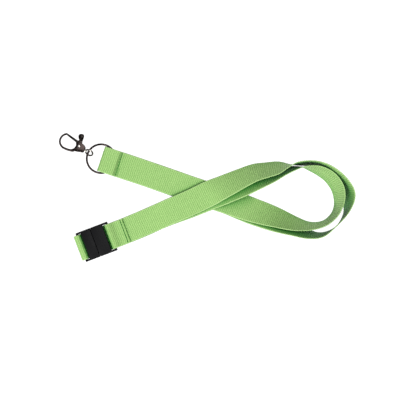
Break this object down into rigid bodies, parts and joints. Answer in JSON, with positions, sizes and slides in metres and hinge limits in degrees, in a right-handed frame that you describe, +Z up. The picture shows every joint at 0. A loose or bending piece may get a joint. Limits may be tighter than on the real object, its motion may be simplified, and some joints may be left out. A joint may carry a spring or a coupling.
{
  "type": "neck lanyard",
  "caption": "Flat woven neck lanyard, crossed over once, with a breakaway buckle in one leg and a ring and swivelling trigger clasp on the other.",
  "frame": {"origin": "centre of the bounding box in X and Y, at the underside of the strap where it lies on a flat surface", "axes": "+Z up from the surface the lanyard lies on, +X towards the far end of the neck loop, with the clasp and the buckle at the -X end"},
  "size_m": [0.2276, 0.0995, 0.0228],
  "materials": {
    "webbing": "flat woven polyester, soft sheen",
    "thread": "matte sewing thread",
    "ring_metal": "polished dark nickel wire",
    "bright_metal": "polished nickel",
    "clasp_metal": "polished dark nickel",
    "buckle": "moulded, semi-gloss"
  },
  "bodies": {
    "strap": {"inner_strap": "webbing", "outer_strap": "webbing", "ring_pocket": "webbing", "ring_stitches": "thread", "socket_loop": "webbing", "socket_stitches": "thread", "buckle_socket": "buckle"},
    "ring": {"split_ring": "ring_metal"},
    "eye": {"swivel_eye": "bright_metal"},
    "clasp": {"hook_body": "clasp_metal", "lever_pin": "bright_metal"},
    "trigger": {"trigger_lever": "clasp_metal"},
    "plug": {"buckle_plug": "buckle", "plug_loop": "webbing", "plug_stitches": "thread"}
  },
  "joints": [
    {"name": "ring_turn", "type": "hinge", "parent": "strap", "child": "ring", "pos_m": [-0.081, 0.0301, 0.0023], "axis": [0, 0, 1], "range_deg": [-40, 60]},
    {"name": "eye_tilt", "type": "hinge", "parent": "ring", "child": "eye", "pos_m": [-0.09089, 0.03514, 0.0023], "axis": [0.454, 0.891, 0], "range_deg": [-3, 90]},
    {"name": "hook_swivel", "type": "hinge", "parent": "eye", "child": "clasp", "pos_m": [-0.09391, 0.03668, 0.0029], "axis": [-0.891, 0.454, 0], "continuous": true},
    {"name": "trigger", "type": "hinge", "parent": "clasp", "child": "trigger", "pos_m": [-0.09817, 0.03958, 0.0029], "axis": [0, 0, 1], "range_deg": [0, 24], "stiffness_Nm_per_rad": 0.01, "springref_deg": -17.19},
    {"name": "plug_release", "type": "slide", "parent": "strap", "child": "plug", "axis": [-0.9348, -0.3551, 0], "range_m": [0, 0.012]}
  ]
}
